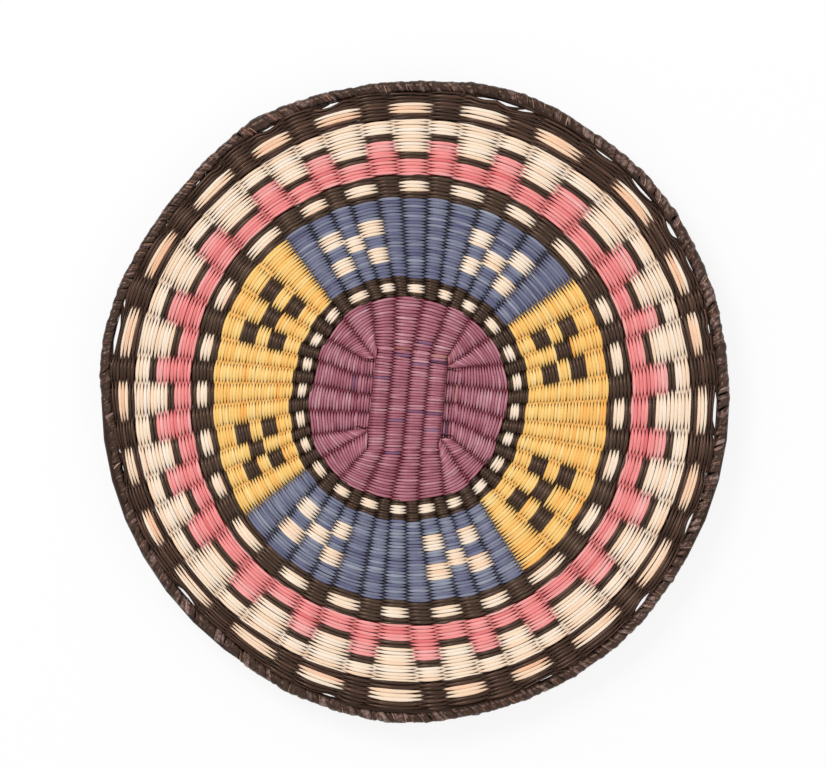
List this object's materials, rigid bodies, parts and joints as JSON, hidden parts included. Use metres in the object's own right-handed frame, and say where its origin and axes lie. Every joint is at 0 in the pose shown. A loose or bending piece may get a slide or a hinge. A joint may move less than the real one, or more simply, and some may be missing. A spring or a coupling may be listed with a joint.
{
  "type": "wicker plaque",
  "caption": "Round shallow wicker plaque: crossed rods spread as ribs, woven in rings of dyed and plain weft, with a bound rim.",
  "frame": {"origin": "middle of the bounding box, on the surface that the plaque lies on", "axes": "+Z out of the woven face, +Y towards the top of the face, +X to its right"},
  "size_m": [0.355, 0.3574, 0.0242],
  "materials": {
    "rod_wood": "bare peeled twig, matt",
    "purple_weft": "dyed split stems, dull sheen",
    "black_weft": "dyed split stems, dull sheen",
    "blue_weft": "dyed split stems, dull sheen",
    "yellow_weft": "dyed split stems, dull sheen",
    "pink_weft": "dyed split stems, dull sheen",
    "cream_weft": "undyed split stems, dull sheen",
    "rim_strip": "dark leaf strips, worn"
  },
  "bodies": {
    "root": {"front_rod_1": "rod_wood", "front_rod_2": "rod_wood", "front_rod_3": "rod_wood", "front_rod_4": "rod_wood", "front_rod_5": "rod_wood", "front_rod_6": "rod_wood", "front_rod_7": "rod_wood", "front_rod_8": "rod_wood", "back_rod_1": "rod_wood", "back_rod_2": "rod_wood", "back_rod_3": "rod_wood", "back_rod_4": "rod_wood", "back_rod_5": "rod_wood", "back_rod_6": "rod_wood", "back_rod_7": "rod_wood", "back_rod_8": "rod_wood", "corner_rod_1": "rod_wood", "corner_rod_2": "rod_wood", "corner_rod_3": "rod_wood", "corner_rod_4": "rod_wood", "corner_rod_5": "rod_wood", "corner_rod_6": "rod_wood", "corner_rod_7": "rod_wood", "corner_rod_8": "rod_wood", "corner_rod_9": "rod_wood", "corner_rod_10": "rod_wood", "corner_rod_11": "rod_wood", "corner_rod_12": "rod_wood", "corner_rod_13": "rod_wood", "corner_rod_14": "rod_wood", "corner_rod_15": "rod_wood", "corner_rod_16": "rod_wood", "front_panel_weave": "purple_weft", "back_panel_weave": "purple_weft", "purple_weave": "purple_weft", "inner_black_ring": "black_weft", "blue_top_sector": "blue_weft", "yellow_right_sector": "yellow_weft", "blue_bottom_sector": "blue_weft", "yellow_left_sector": "yellow_weft", "middle_black_ring": "black_weft", "pink_band": "pink_weft", "cream_band": "cream_weft", "outer_black_ring": "black_weft", "rim_core": "rod_wood", "rim_binding": "rim_strip"}
  },
  "joints": []
}
